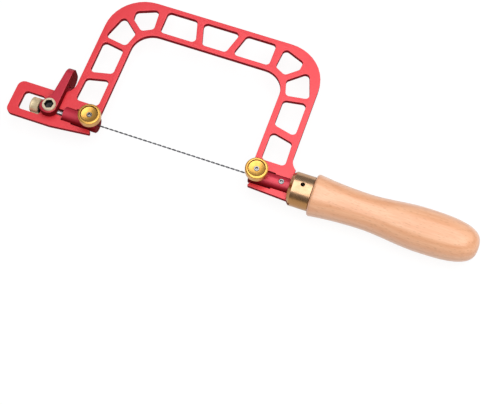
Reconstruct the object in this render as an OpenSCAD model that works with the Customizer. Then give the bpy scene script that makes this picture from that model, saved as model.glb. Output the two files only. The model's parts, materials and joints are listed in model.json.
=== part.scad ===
// Fret saw with a pierced aluminium bow, two screw clamps for the blade, a cam lever
// that tensions the blade at the front end, and a turned wooden handle.
// The saw lies flat: +X runs along the blade to the handle, +Y to the spine of the bow,
// +Z up. Each piece is drawn about the middle of the bow on the blade's own line, and
// then moved so that the origin is under the middle of the whole saw.

/* [Bow] */
// Thickness of the bow plate
plate_t = 3.5; // [3:0.1:5]
// Length of the blade that the bow is made for
blade_len = 130; // [110:1:160]
// Half of what the blade is longer than the throat is wide
blade_over = 7.9; // [7:0.1:9]
// Width of each arm
arm_w = 25.5; // [22:0.1:32]
// Depth of the throat, from the blade's line to the spine
throat_depth = 81; // [75:0.5:120]
// Width of the spine
spine_w = 26.2; // [22:0.1:32]
// Radius of the bow's outer corners
bow_outer_r = 30; // [20:0.5:32]
// Radius of the bow's inner corners
bow_inner_r = 16; // [10:0.5:20]

/* [Windows] */
// Width of the rails along both edges of each arm
arm_rail_w = 4.4; // [3:0.1:6]
// Width of the rails along both edges of the spine
spine_rail_w = 3.9; // [3:0.1:6]
// Corner radius of the windows
window_r = 3; // [1.5:0.1:3.5]
// Half the width of the middle window along the spine's outer edge
middle_top_half = 14.4; // [12:0.1:18]
// Half the width of the middle window along the spine's inner edge
middle_bottom_half = 9.1; // [7:0.1:11]
// Width of the struts beside the middle window, along the spine
spine_strut_w = 5.1; // [3:0.1:7]
// Length of the long spine windows along the spine's outer edge
spine_window_len = 22.8; // [16:0.1:26]
// Width of the upright struts between the long spine windows and the corner windows
corner_post_w = 5; // [3:0.1:7]
// Width of the slanted struts across the bow's corners
corner_strut_w = 4.7; // [3:0.1:6]
// Angle of those struts to the spine
corner_strut_angle = 40.4; // [37:0.1:44]
// Length of the corner window against the spine, along the slanted strut
spine_corner_len = 11.8; // [9:0.1:13]
// Length of the corner window against the arm, along the slanted strut
arm_corner_len = 18.1; // [14:0.1:19]
// Width of the struts between the corner windows and the arm windows
upper_strut_w = 4; // [3:0.1:6]
// Height of those struts below the throat's roof, at the inner rail
upper_strut_drop = 17.3; // [15:0.1:22]
// Rise of those struts from the inner to the outer rail
upper_strut_rise = 2.7; // [0:0.1:4]
// Width of the struts between the two windows of each arm
arm_strut_w = 5.5; // [3:0.1:8]
// Height of those struts above the blade's line, at the inner rail
arm_strut_y = 38.3; // [32:0.1:44]
// Fall of those struts from the inner to the outer rail
arm_strut_fall = 3.9; // [0:0.1:6]
// Height of the lowest window edge above the blade's line
arm_window_y = 13.1; // [11:0.1:16]

/* [Front end] */
// Length of the tail beyond the arm's outer edge
tail_len = 40.1; // [36:0.1:46]
// Height of the tail's upper edge above the blade's line
tail_top = 14.8; // [13:0.1:16]
// Depth of the tail's lower edge below the blade's line
tail_bottom = 12.2; // [11:0.1:15]
// Corner radius of the tail
tail_r = 5; // [3:0.1:6]
// Radius of the hollows between the arms and the two ends
hollow_r = 10; // [6:0.1:12]
// Width of the strip between the tail window and the tail's end
tail_end_w = 7.3; // [5:0.1:9]
// Height of the tail window above the blade's line
tail_window_up = 7.9; // [7:0.1:9]
// Depth of the tail window below the blade's line
tail_window_down = 6.6; // [6.3:0.1:8]
// Depth of the bow's lower edge below the blade's line at the throat
lip_bottom = 9; // [8.5:0.1:11]
// Length of the plate between the pivot pin and the clamp's slot
web_len = 4.65; // [4:0.05:6]
// Gap on both sides of the tension rod in the plate's slot
rod_slot_gap = 0.4; // [0.3:0.05:1.2]

/* [Clamps] */
// Diameter of the two clamp bodies
clamp_d = 11.5; // [10:0.1:13]
// Distance that the front clamp body stands out into the throat
front_reach = 1.35; // [0.5:0.05:4]
// Distance that the rear clamp body is set back from the throat
rear_recess = 0.75; // [0:0.05:1.5]
// Gap between the front clamp body and the end of its slot
front_clamp_gap = 0.95; // [0.85:0.05:1.5]
// Distance of the clamp screws from the throat end of the clamp bodies
clamp_screw_in = 4.8; // [4:0.1:7]
// Bevel at the throat end of the clamp bodies
clamp_bevel = 0.5; // [0.2:0.1:1]
// Length of the grooved tail of each clamp body that runs on the plate
guide_len = 7; // [6:0.1:10]
// Depth of the guide grooves in the clamp bodies
groove_depth = 0.6; // [0.4:0.05:1]
// Gap between the plate and the ungrooved part of the clamp bodies
slot_gap = 0.5; // [0.3:0.05:0.7]
// Screw diameter of the clamp screws, the set screws and the tension rod
screw_d = 4; // [3:0.1:5]
// Length of a pressure pad
pad_len = 2.6; // [1.5:0.1:4]

/* [Knobs] */
// Diameter of the clamp knobs
knob_d = 16; // [14:0.1:18]
// Height of the knob's rim
knob_rim_h = 5.8; // [4:0.1:8]
// Height of the knob's hub under the rim
knob_hub_h = 3.4; // [2:0.1:5]
// Diameter of the knob's hub
knob_hub_d = 10; // [8:0.1:12]
// Width of the flat rim between the knob's rounded edge and its dished face
knob_rim_w = 0.65; // [0.4:0.05:1.2]
// Depth of the dish
knob_dish_depth = 1.5; // [0.5:0.1:2.5]
// Radius of the knob's rounded edges
knob_edge_r = 1.1; // [0.4:0.1:1.8]

/* [Blade] */
// Width of the flat wire that the blade is twisted from
blade_d = 1.25; // [0.9:0.05:1.5]
// Thickness of that wire
blade_t = 0.6; // [0.4:0.05:0.8]
// Diameter of the blade's plain ends
blade_end_d = 1; // [0.7:0.05:1.2]
// Length of one full twist of the blade
blade_pitch = 7.5; // [5:0.1:9]

/* [Tension lever] */
// Distance of the lever's pivot from the arm's outer edge
pivot_out = 9.4; // [8.8:0.1:10]
// Diameter of the pivot pin
pin_d = 9.7; // [8.5:0.1:10]
// Height that the pivot pin stands above the lever
pin_proud = 2.3; // [0.5:0.1:3]
// Size of the hexagon socket in the pivot pin, across its flats
pin_socket = 6; // [4:0.5:6]
// Thickness of the lever between the pivot pin and its straight side
pin_wall = 0.5; // [0.4:0.05:1]
// Distance of the cam from the pivot, with the lever closed
cam_reach = 7.5; // [7:0.1:8.5]
// Distance that the cam falls back as the lever opens
cam_lift = 0.6; // [0.3:0.05:0.7]
// Angle that the lever opens through
lever_open = 40; // [30:1:42]
// Thickness of the lever's arm at the pivot
lever_root_t = 7.8; // [7:0.1:9]
// Thickness of the lever's arm at its end
lever_tip_t = 4.9; // [4:0.1:6.5]
// Length of the lever from its pivot
lever_len = 34.5; // [32:0.5:40]
// Width of the lever, from its lower to its upper side
lever_w = 16.2; // [14:0.1:18]
// Thickness of the lever's barrel below the pivot pin
barrel_wall = 1.4; // [1:0.1:2]
// Radius of the two corners of the lever's end, seen from its side
lever_end_r = 7; // [4:0.5:8]
// Length of the thrust collar between the cam and the nut
collar_len = 0.9; // [0.6:0.1:2]
// Diameter of the thrust collar
collar_d = 9.4; // [8:0.1:9.6]
// Length of the adjusting nut
nut_len = 6.4; // [5:0.1:8]
// Diameter of the adjusting nut
nut_d = 11.2; // [9.6:0.1:12]

/* [Handle] */
// Distance of the ferrule's front from the arm's outer edge
ferrule_out = 4.3; // [3.4:0.1:7.4]
// Length of the ferrule
ferrule_len = 16.1; // [13:0.1:20]
// Diameter of the ferrule
ferrule_d = 24.4; // [23:0.1:27]
// Width of the bevel at the ferrule's front
ferrule_bevel = 2.3; // [1:0.1:3]
// Distance of the ferrule's set screw from the ferrule's front
ferrule_set_in = 8.8; // [7:0.1:9.5]
// Distance of the rear clamp's set screw from the ferrule's front
rear_set_in = 6.3; // [5:0.1:8]
// Lowest height of the hollow between the rear arm and the ferrule
rear_hollow_y = 11.2; // [10:0.1:13]
// Depth of the slot in the ferrule for the plate
tongue_in = 3.4; // [2:0.1:5]
// Depth of the pocket in the ferrule for the plate's tang
tang_in = 12; // [10:0.1:12.5]
// Width of the plate's tang inside the ferrule
tang_w = 9; // [7:0.1:12]
// Length of the plate's finger inside the rear clamp body
finger_len = 11; // [9:0.1:12]
// Width of the plate's finger inside the rear clamp body
finger_w = 5.2; // [4.5:0.1:6]
// Height of the plate's tongue above the blade's line
tongue_top = 10.6; // [9.5:0.1:11]
// Depth of the plate's tongue below the blade's line
tongue_bottom = 10.4; // [9.5:0.1:11]
// Length of the wooden handle
handle_len = 117.1; // [100:0.5:130]
// Diameter of the handle at the ferrule
handle_front_d = 30.3; // [26:0.1:31]
// Diameter of the handle's waist
handle_waist_d = 25; // [22:0.1:28]
// Distance of the waist from the ferrule
handle_waist_at = 38; // [25:0.5:45]
// Diameter of the handle's bulge
handle_bulge_d = 30.9; // [30.4:0.1:36]
// Distance of the bulge from the ferrule
handle_bulge_at = 78; // [70:0.5:90]
// Diameter of the ferrule's spigot inside the handle
spigot_d = 14; // [11:0.1:17]
// Length of the ferrule's spigot inside the handle
spigot_len = 12; // [9:0.1:18]
// Diameter of the stud inside the handle
stud_d = 6; // [5:0.1:7]
// Depth of the stud in the handle
stud_in = 38; // [25:0.5:60]

/* [Fits] */
// Radial clearance of pieces that turn or slide in each other
run_gap = 0.05; // [0.03:0.01:0.08]
// Gap between flat faces that slide past each other
face_gap = 0.05; // [0.03:0.01:0.1]
// Gap between moving pieces that don't touch
clear_gap = 0.3; // [0.25:0.01:0.4]

/* [Hidden] */
$fn = 96;

// Steps in a rounded corner and along the handle
corner_steps = 10;
curve_steps = 18;
// Overshoot of cutting shapes past the faces that they cut
past = 1;

// Bow
throat_half = blade_len / 2 - blade_over;
bow_half = throat_half + arm_w;
spine_top = throat_depth + spine_w;
tail_x = -bow_half - tail_len;
plate_top = plate_t / 2;

// Tension gear, along X from the pivot
pivot_x = bow_half + pivot_out;
pin_r = pin_d / 2;
front_slot_end = -pivot_x + pin_r + web_len;
window_end_x = -pivot_x - cam_reach + cam_lift + clear_gap;
lever_side = pin_r + pin_wall;
lever_edge_r = 1.4;
lever_root_r = 1.5;
collar_x = -pivot_x - cam_reach - face_gap - collar_len;
nut_x = collar_x - face_gap - nut_len;
nut_bevel = 0.5;
fork_gap = plate_t + 3 * clear_gap;
// The fork is deep enough to pass the tail's upper edge with the lever open
fork_root = (tail_top + (lever_root_t - lever_side) * sin(lever_open)) / cos(lever_open) + 2 * clear_gap;
pin_top = lever_w / 2 + pin_proud;
pin_bottom = -lever_w / 2 - pin_proud / 2;
pin_socket_depth = 4.5;
pin_socket_turn = 20;
pin_bevel = 0.6;

// Clamp bodies and the slots that they lie in
clamp_r = clamp_d / 2;
groove_r = clamp_r - groove_depth;
guide_half = groove_r + 2 * face_gap;
slot_half = clamp_r + slot_gap;
front_end = throat_half - front_reach;
rear_end = throat_half + rear_recess;
front_screw_x = -front_end - clamp_screw_in;
rear_screw_x = rear_end + clamp_screw_in;
screw_r = screw_d / 2;
screw_hole_r = screw_r + run_gap;
rod_gap = 0.15;
rod_hole_r = screw_r + rod_gap;
rod_in_clamp = 10;
rod_tip_in = 1;
rod_tip_x = nut_x + rod_tip_in;
front_clamp_back = front_slot_end + front_clamp_gap;
front_clamp_len = -front_end - front_clamp_back;
guide_x = -front_clamp_back - guide_len;
groove_spare = 1.5;

// Travel of the front clamp body towards the throat, with the nut and the lever slack
front_travel = 3.6;

// Blade clamps, along Z
blade_r = blade_d / 2;
blade_end_r = blade_end_d / 2;
blade_bore_r = blade_r + clear_gap;
blade_grip = 10.5;
blade_x = (front_screw_x + rear_screw_x - blade_len) / 2;
front_bore_len = -front_end - blade_x + clear_gap + front_travel;
rear_bore_len = blade_x + blade_len - rear_end + clear_gap;
anvil_z = -blade_end_r - face_gap;
pad_z = blade_end_r + face_gap;
screw_z = pad_z + pad_len + face_gap;
knob_z = clamp_r + clear_gap;
knob_top = knob_z + knob_hub_h + knob_rim_h;
knob_bore_gap = 0.02;
dish_z = knob_top - knob_dish_depth;
// Groove round the dish
dish_groove_depth = 0.8;
dish_groove_w = 0.45;
dish_groove_slant = 0.1;
dish_lip_drop = 0.45;
dish_floor_w = 2;
dish_floor_r = screw_r + dish_floor_w;
screw_proud = 0.5;
key_size = screw_d / 2;
key_depth = 2.4;
// Bevel at the ends of the headless screws, as a share of their radius
grub_tip = 0.3;

// Handle end
ferrule_x = bow_half + ferrule_out;
ferrule_back = ferrule_x + ferrule_len;
ferrule_back_bevel = 0.4;
tongue_x = ferrule_x + tongue_in - face_gap;
tang_x = ferrule_x + tang_in - face_gap;
rear_slot_end = ferrule_x + face_gap;
stud_r = stud_d / 2;
stud_hole_r = stud_r + run_gap;
stud_wall = 1;
stud_front_x = ferrule_x + tang_in + stud_wall;
rear_set_x = ferrule_x - rear_set_in;
ferrule_set_x = ferrule_x + ferrule_set_in;
ferrule_set_r = 1.5;
ferrule_set_sink = 3;
handle_end_x = ferrule_back + handle_len;
handle_edge_r = 2;
handle_end_power = 3;

// Place of the whole saw over the origin
mid_x = (tail_x + handle_end_x) / 2;
mid_y = (spine_top - handle_bulge_d / 2) / 2;
axis_z = max(handle_bulge_d / 2, knob_top);

// Points of an arc about c from angle a0 to a1
function bend(c, r, a0, a1, steps) =
  [for (i = [0 : steps]) let (a = a0 + (a1 - a0) * i / steps) c + r * [cos(a), sin(a)]];

function unit(v) = v / norm(v);

// Points of an arc that rounds the corner at p with radius r, between its neighbours a and b
function corner_arc(a, p, b, r) =
  let (u = unit(a - p), w = unit(b - p))
  let (half = acos(max(-1, min(1, u * w))) / 2)
  let (c = p + unit(u + w) * r / sin(half))
  let (from = p + u * r / tan(half) - c, to = p + w * r / tan(half) - c)
  let (start = atan2(from[1], from[0]), turn = atan2(to[1], to[0]) - start)
  let (sweep = turn > 180 ? turn - 360 : turn < -180 ? turn + 360 : turn)
  bend(c, r, start, start + sweep, corner_steps);

// Outline through corners [x, y, radius]; a radius of 0 leaves the corner sharp
function outline(corners) =
  let (n = len(corners))
  [for (i = [0 : n - 1])
    let (c = corners[i], a = corners[(i + n - 1) % n], b = corners[(i + 1) % n])
    let (p = [c[0], c[1]])
    each c[2] > 0 ? corner_arc([a[0], a[1]], p, [b[0], b[1]], c[2]) : [p]];

function window(points) = outline([for (p = points) [p[0], p[1], window_r]]);

// Moves a piece from the blade's own line to its place over the origin
module in_place() {
  translate([-mid_x, -mid_y, axis_z]) children();
}

module along_x(x) {
  translate([x, 0, 0]) rotate([0, 90, 0]) children();
}

module both_sides() {
  children();
  mirror([1, 0, 0]) children();
}

// Windows of the bow's right half
x_in = throat_half + arm_rail_w;
x_out = bow_half - arm_rail_w;
y_in = throat_depth + spine_rail_w;
y_out = spine_top - spine_rail_w;
upper_in = throat_depth - upper_strut_drop;
upper_out = upper_in + upper_strut_rise;
post_x = middle_top_half + spine_strut_w + spine_window_len;
post_lean = 1.6;
corner_drop = 0.8;
arm_flare = 0.6;

// The slanted strut of a corner starts near the bow's inner knee
knee_shift = [-0.1, -1.6];
spine_shift = [0.2, 0.1];
arm_shift = [-0.3, -0.1];
strut_dir = [cos(corner_strut_angle), sin(corner_strut_angle)];
strut_half = corner_strut_w / 2 * [-strut_dir[1], strut_dir[0]];
strut_root = [throat_half, throat_depth] + knee_shift;
spine_side = strut_root + strut_half + spine_shift;
arm_side = strut_root - strut_half + arm_shift;
// Outermost corner of the corner window against the spine, from the bow's outer corner
tip_shift = [-17.3, -11.4];
outer_tip = [bow_half, spine_top] + tip_shift;

module middle_window() {
  polygon(window([
    [-middle_top_half, y_out], [middle_top_half, y_out],
    [middle_bottom_half, y_in], [-middle_bottom_half, y_in]
  ]));
}

module side_windows() {
  // Long window of the spine
  polygon(window([
    [middle_top_half + spine_strut_w, y_out], [post_x, y_out],
    [post_x, y_in], [middle_bottom_half + spine_strut_w, y_in]
  ]));
  // Corner window against the spine
  polygon(window([
    [post_x + corner_post_w + post_lean, y_out - corner_drop],
    outer_tip,
    spine_side + spine_corner_len * strut_dir,
    spine_side,
    [post_x + corner_post_w, y_in + corner_drop]
  ]));
  // Corner window against the arm
  polygon(window([
    arm_side,
    arm_side + arm_corner_len * strut_dir,
    [x_out + arm_flare, upper_out + upper_strut_w / 2],
    [x_in, upper_in + upper_strut_w / 2]
  ]));
  // Upper window of the arm
  polygon(window([
    [x_in, upper_in - upper_strut_w / 2],
    [x_out, upper_out - upper_strut_w / 2],
    [x_out, arm_strut_y - arm_strut_fall + arm_strut_w / 2],
    [x_in, arm_strut_y + arm_strut_w / 2]
  ]));
  // Lower window of the arm
  polygon(window([
    [x_in, arm_strut_y - arm_strut_w / 2],
    [x_out, arm_strut_y - arm_strut_fall - arm_strut_w / 2],
    [x_out + arm_flare, arm_window_y],
    [x_in, arm_window_y]
  ]));
}

// Slots for the clamp bodies, open to the throat
module clamp_slots() {
  translate([-guide_x, -slot_half]) square([guide_x - throat_half + past, 2 * slot_half]);
  translate([front_slot_end, -guide_half]) square([-front_slot_end - throat_half, 2 * guide_half]);
  translate([throat_half - past, -slot_half]) square([guide_x - throat_half + past, 2 * slot_half]);
  translate([throat_half, -guide_half]) square([rear_slot_end - throat_half, 2 * guide_half]);
}

// Seat of the pivot pin and the slot that the tension rod runs in
module pivot_seat() {
  translate([-pivot_x, 0]) circle(r = pin_r + face_gap);
  rod_slot_half = screw_r + rod_slot_gap;
  translate([window_end_x - past, -rod_slot_half])
    square([front_slot_end - window_end_x + 2 * past, 2 * rod_slot_half]);
}

// Finger that the rear clamp body is locked to
module clamp_finger() {
  translate([rear_slot_end - finger_len, -finger_w / 2]) square([finger_len + past, finger_w]);
}

module tail_window() {
  end_r = 2.8;
  seat_r = 1.5;
  seat_top_r = 3.6;
  polygon(outline([
    [tail_x + tail_end_w, -tail_window_down, end_r], [window_end_x, -tail_window_down, seat_r],
    [window_end_x, tail_window_up, seat_top_r], [tail_x + tail_end_w, tail_window_up, end_r]
  ]));
}

// Outline of the plate, from the front arm round the tail and the throat to the rear arm
module frame_outline() {
  lip_in = 1.4;
  lip_slant = 1.2;
  lip_r = 0.8;
  slope_in = 5.9;
  slope_x = front_slot_end - slope_in;
  slope_r = 4;
  rear_hollow = [bow_half + hollow_r, rear_hollow_y + hollow_r];
  shoulder_x = ferrule_x - face_gap;
  shoulder_at = 180 + acos((rear_hollow[0] - shoulder_x) / hollow_r);
  polygon(outline(concat(
    [
      [-bow_half, spine_top, bow_outer_r],
      [-bow_half, tail_top, hollow_r],
      [tail_x, tail_top, tail_r],
      [tail_x, -tail_bottom, tail_r],
      [slope_x, -tail_bottom, slope_r],
      [-throat_half - lip_in, -lip_bottom, lip_r],
      [-throat_half - lip_in - lip_slant, -slot_half, 0],
      [-throat_half, -slot_half, 0],
      [-throat_half, throat_depth, bow_inner_r],
      [throat_half, throat_depth, bow_inner_r],
      [throat_half, -slot_half, 0],
      [throat_half + lip_in + lip_slant, -slot_half, 0],
      [throat_half + lip_in, -lip_bottom, lip_r],
      [shoulder_x, -tongue_bottom, 0],
      [tongue_x, -tongue_bottom, 0],
      [tongue_x, -tang_w / 2, 0],
      [tang_x, -tang_w / 2, 0],
      [tang_x, tang_w / 2, 0],
      [tongue_x, tang_w / 2, 0],
      [tongue_x, tongue_top, 0],
      [shoulder_x, tongue_top, 0]
    ],
    [for (p = bend(rear_hollow, hollow_r, shoulder_at, 180, corner_steps)) [p[0], p[1], 0]],
    [[bow_half, spine_top, bow_outer_r]]
  )));
}

module frame_plate() {
  color("#d8414c") in_place() translate([0, 0, -plate_t / 2]) linear_extrude(plate_t) {
    difference() {
      frame_outline();
      middle_window();
      both_sides() side_windows();
      clamp_slots();
      tail_window();
      pivot_seat();
    }
    clamp_finger();
  }
}

// Clamp body from its throat end at x = 0 along +X, with its guide grooves at the far end
module clamp_blank(length, grooved) {
  groove_h = plate_t + 2 * face_gap;
  difference() {
    along_x(0) rotate_extrude() polygon([
      [0, 0], [clamp_r - clamp_bevel, 0], [clamp_r, clamp_bevel], [clamp_r, length], [0, length]
    ]);
    for (side = [-1, 1])
      translate([length - grooved, side > 0 ? groove_r : -clamp_r - past, -groove_h / 2])
        cube([grooved + past, groove_depth + past, groove_h]);
    // Screw hole down to the seat that the blade lies on
    translate([clamp_screw_in, 0, anvil_z]) cylinder(r = screw_hole_r, h = clamp_r - anvil_z + past);
  }
}

module front_clamp_body() {
  color("#a3243a") in_place() translate([-front_end, 0, 0]) mirror([1, 0, 0]) difference() {
    clamp_blank(front_clamp_len, guide_len + groove_spare);
    along_x(-past) cylinder(r = blade_bore_r, h = past + front_bore_len);
    along_x(front_clamp_len - rod_in_clamp) cylinder(r = screw_hole_r, h = rod_in_clamp + past);
  }
}

module rear_clamp_body() {
  rear_len = ferrule_x - rear_end;
  color("#a3243a") in_place() translate([rear_end, 0, 0]) difference() {
    clamp_blank(rear_len, ferrule_x - guide_x + groove_spare);
    along_x(-past) cylinder(r = blade_bore_r, h = past + rear_bore_len);
    // Pocket for the plate's finger
    translate([rear_len - finger_len - face_gap, -finger_w / 2 - face_gap, -plate_top - face_gap])
      cube([finger_len + past, finger_w + 2 * face_gap, plate_t + 2 * face_gap]);
    translate([rear_set_x - rear_end, 0, 0]) cylinder(r = screw_hole_r, h = clamp_r + past);
  }
}

module pressure_pad(x) {
  color("#b9bcc0") in_place() translate([x, 0, pad_z]) cylinder(r = screw_r, h = pad_len);
}

module front_pressure_pad() {
  pressure_pad(front_screw_x);
}

module rear_pressure_pad() {
  pressure_pad(rear_screw_x);
}

// Headless screw with a hexagon socket in its upper end
module grub_screw(r, length, key, depth) {
  tip = r * grub_tip;
  difference() {
    rotate_extrude() polygon([
      [0, 0], [r - tip, 0], [r, tip], [r, length - tip], [r - tip, length], [0, length]
    ]);
    translate([0, 0, length - depth]) cylinder(d = key / cos(30), h = depth + past, $fn = 6);
  }
}

module clamp_screw(x) {
  color("#c4c7cb") in_place() translate([x, 0, screw_z])
    grub_screw(screw_r, dish_z + screw_proud - screw_z, key_size, key_depth);
}

module front_clamp_screw() {
  clamp_screw(front_screw_x);
}

module rear_clamp_screw() {
  clamp_screw(rear_screw_x);
}

module clamp_knob(x) {
  r = knob_d / 2;
  rim_z = knob_z + knob_hub_h;
  e = knob_edge_r;
  bore = screw_r + knob_bore_gap;
  dish_r = r - e - knob_rim_w;
  ring_r = dish_r - dish_groove_slant;
  lip_r = ring_r - dish_groove_w;
  color("#d9b24a") in_place() translate([x, 0, 0]) rotate_extrude() polygon(concat(
    [[bore, knob_z], [knob_hub_d / 2, knob_z], [knob_hub_d / 2, rim_z]],
    bend([r - e, rim_z + e], e, -90, 0, corner_steps),
    bend([r - e, knob_top - e], e, 0, 90, corner_steps),
    [[dish_r, knob_top], [ring_r, knob_top - dish_groove_depth]],
    [[lip_r, knob_top - dish_groove_depth], [lip_r - dish_groove_slant, knob_top - dish_lip_drop]],
    [[dish_floor_r, dish_z], [bore, dish_z]]
  ));
}

module front_knob() {
  clamp_knob(front_screw_x);
}

module rear_knob() {
  clamp_knob(rear_screw_x);
}

// Twisted blade between plain ends
module blade() {
  twisted = blade_len - 2 * blade_grip;
  turns = round(twisted / blade_pitch);
  turn_steps = 14;
  color("#5d6066") in_place() along_x(blade_x) {
    cylinder(r = blade_end_r, h = blade_grip + face_gap);
    translate([0, 0, blade_grip])
      linear_extrude(twisted, twist = 360 * turns, slices = turn_steps * turns, $fn = 4)
        square([blade_d, blade_t], center = true);
    translate([0, 0, blade_len - blade_grip - face_gap]) cylinder(r = blade_end_r, h = blade_grip + face_gap);
  }
}

module tension_rod() {
  rod_len = front_clamp_back + rod_in_clamp - clear_gap - rod_tip_x;
  color("#c4c7cb") in_place() along_x(rod_tip_x) cylinder(r = screw_r, h = rod_len);
}

module adjusting_nut() {
  r = nut_d / 2;
  bevel = nut_bevel;
  color("#d9b24a") in_place() along_x(nut_x) rotate_extrude() polygon([
    [screw_hole_r, 0], [r - bevel, 0], [r, bevel], [r, nut_len - bevel],
    [r - bevel, nut_len], [screw_hole_r, nut_len]
  ]);
}

module thrust_collar() {
  color("#2b2b2e") in_place() along_x(collar_x) difference() {
    cylinder(d = collar_d, h = collar_len);
    translate([0, 0, -past]) cylinder(r = rod_hole_r, h = collar_len + 2 * past);
  }
}

module cross_pin() {
  r = pin_r;
  color("#dcb651") in_place() translate([-pivot_x, 0, 0]) difference() {
    rotate_extrude() polygon([
      [0, pin_bottom], [r - pin_bevel, pin_bottom], [r, pin_bottom + pin_bevel],
      [r, pin_top - pin_bevel], [r - pin_bevel, pin_top], [0, pin_top]
    ]);
    translate([0, 0, pin_top - pin_socket_depth]) rotate([0, 0, pin_socket_turn])
      cylinder(d = pin_socket / cos(30), h = pin_socket_depth + past, $fn = 6);
    along_x(-pin_d) cylinder(r = rod_hole_r, h = 2 * pin_d);
  }
}

// Cam: its distance from the pivot falls evenly as the lever opens
cam_rate = cam_lift / (lever_open * PI / 180);
function cam_point(opened) =
  let (h = cam_reach - cam_lift * opened / lever_open)
  [-h * cos(opened) - cam_rate * sin(opened), h * sin(opened) - cam_rate * cos(opened)];

module lever_profile() {
  // Round side of the barrel, between the cam and the lever's straight side
  barrel_r = (cam_reach + lever_side) / 2;
  barrel_mid = [lever_side - barrel_r, -cam_rate];
  barrel_drop = pin_r + run_gap + barrel_wall - cam_rate;
  barrel = [for (p = bend([0, 0], 1, -180, 0, 2 * curve_steps))
    barrel_mid + [barrel_r * p[0], barrel_drop * p[1]]];
  cam = [for (i = [0 : curve_steps]) cam_point(lever_open * i / curve_steps)];
  // Past the cam, a flat that stops against the collar runs up to the arm
  cam_end = cam_point(lever_open);
  flat_dir = [sin(lever_open), cos(lever_open)];
  arm_foot = [lever_side - lever_root_t, 0];
  arm_dir = [lever_root_t - lever_tip_t, lever_len];
  arm_root = cam_end + flat_dir * cross(arm_foot - cam_end, arm_dir) / cross(flat_dir, arm_dir);
  arm = outline([
    [lever_side, -cam_rate, 0],
    [lever_side, lever_len, lever_edge_r],
    [lever_side - lever_tip_t, lever_len, lever_edge_r],
    [arm_root[0], arm_root[1], lever_root_r],
    [cam_end[0], cam_end[1], 0]
  ]);
  polygon(concat(
    arm,
    [for (i = [curve_steps - 1 : -1 : 0]) cam[i]],
    [for (i = [1 : len(barrel) - 2]) barrel[i]]
  ));
}

module cam_lever() {
  end_y = lever_len - lever_end_r;
  end_z = lever_w / 2 - lever_end_r;
  color("#a3243a") in_place() translate([-pivot_x, 0, 0]) difference() {
    translate([0, 0, -lever_w / 2]) linear_extrude(lever_w) lever_profile();
    cylinder(d = pin_d + 2 * run_gap, h = 2 * lever_w, center = true);
    // Fork that straddles the plate and lets the tension rod pass
    translate([-lever_len, -lever_len, -fork_gap / 2]) cube([2 * lever_len, lever_len + fork_root, fork_gap]);
    // Rounded corners of the end, seen from the side
    for (side = [0, 1]) mirror([0, 0, side]) translate([-lever_len, end_y, end_z]) difference() {
      cube([2 * lever_len, lever_end_r + past, lever_end_r + past]);
      along_x(-past) cylinder(r = lever_end_r, h = 2 * lever_len + 2 * past);
    }
  }
}

module rear_set_screw() {
  color("#c4c7cb") in_place() translate([rear_set_x, 0, plate_top + face_gap])
    grub_screw(screw_r, clamp_r - plate_top - face_gap, key_size, key_depth);
}

module ferrule() {
  r = ferrule_d / 2;
  back_bevel = ferrule_back_bevel;
  slot_h = plate_t + 2 * face_gap;
  color("#b98f3a") in_place() difference() {
    along_x(ferrule_x) rotate_extrude() polygon([
      [0, 0], [r - ferrule_bevel, 0], [r, ferrule_bevel], [r, ferrule_len - back_bevel],
      [r - back_bevel, ferrule_len], [spigot_d / 2, ferrule_len],
      [spigot_d / 2, ferrule_len + spigot_len], [0, ferrule_len + spigot_len]
    ]);
    along_x(stud_front_x - clear_gap) cylinder(r = stud_hole_r, h = ferrule_len + spigot_len);
    translate([ferrule_x - past, -r - past, -slot_h / 2]) cube([past + tongue_in, 2 * (r + past), slot_h]);
    translate([ferrule_x - past, -tang_w / 2 - face_gap, -slot_h / 2])
      cube([past + tang_in, tang_w + 2 * face_gap, slot_h]);
    translate([ferrule_set_x, 0, 0]) cylinder(r = ferrule_set_r + run_gap, h = r + past);
  }
}

module ferrule_set_screw() {
  set_len = ferrule_d / 2 - ferrule_set_sink - plate_top - face_gap;
  color("#2b2b2e") in_place() translate([ferrule_set_x, 0, plate_top + face_gap])
    grub_screw(ferrule_set_r, set_len, ferrule_set_r, key_depth);
}

module handle_stud() {
  stud_len = ferrule_back + stud_in - stud_front_x;
  color("#b9bcc0") in_place() along_x(stud_front_x) cylinder(r = stud_r, h = stud_len);
}

// Radius of the handle at a distance s behind the ferrule
function eased(t) = t * t * (3 - 2 * t);
function handle_r(s) =
  s < handle_waist_at
    ? (handle_waist_d + (handle_front_d - handle_waist_d) * pow(1 - s / handle_waist_at, 2)) / 2
    : s < handle_bulge_at
      ? (handle_waist_d + (handle_bulge_d - handle_waist_d)
         * eased((s - handle_waist_at) / (handle_bulge_at - handle_waist_at))) / 2
      : handle_bulge_d / 2
        * pow(max(0, 1 - pow((s - handle_bulge_at) / (handle_len - handle_bulge_at), handle_end_power)),
              1 / handle_end_power);

module handle() {
  bore_len = stud_in + clear_gap;
  spigot_r = spigot_d / 2 + run_gap;
  spigot_room = spigot_len + face_gap;
  edge_x = handle_edge_r;
  front = [for (i = [0 : corner_steps]) let (a = 90 * i / corner_steps)
    [handle_r(edge_x) - edge_x * (1 - sin(a)), edge_x * (1 - cos(a))]];
  grip_steps = 2 * curve_steps;
  grip = [for (i = [1 : grip_steps])
    let (s = edge_x + (handle_bulge_at - edge_x) * i / grip_steps) [handle_r(s), s]];
  dome = [for (i = [1 : curve_steps]) let (a = 90 * i / curve_steps)
    let (s = handle_bulge_at + (handle_len - handle_bulge_at) * sin(a)) [handle_r(s), s]];
  color("#d9a878") in_place() along_x(ferrule_back) rotate_extrude() polygon(concat(
    [[0, bore_len], [stud_hole_r, bore_len], [stud_hole_r, spigot_room]],
    [[spigot_r, spigot_room], [spigot_r, 0]],
    front, grip, dome
  ));
}

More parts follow.
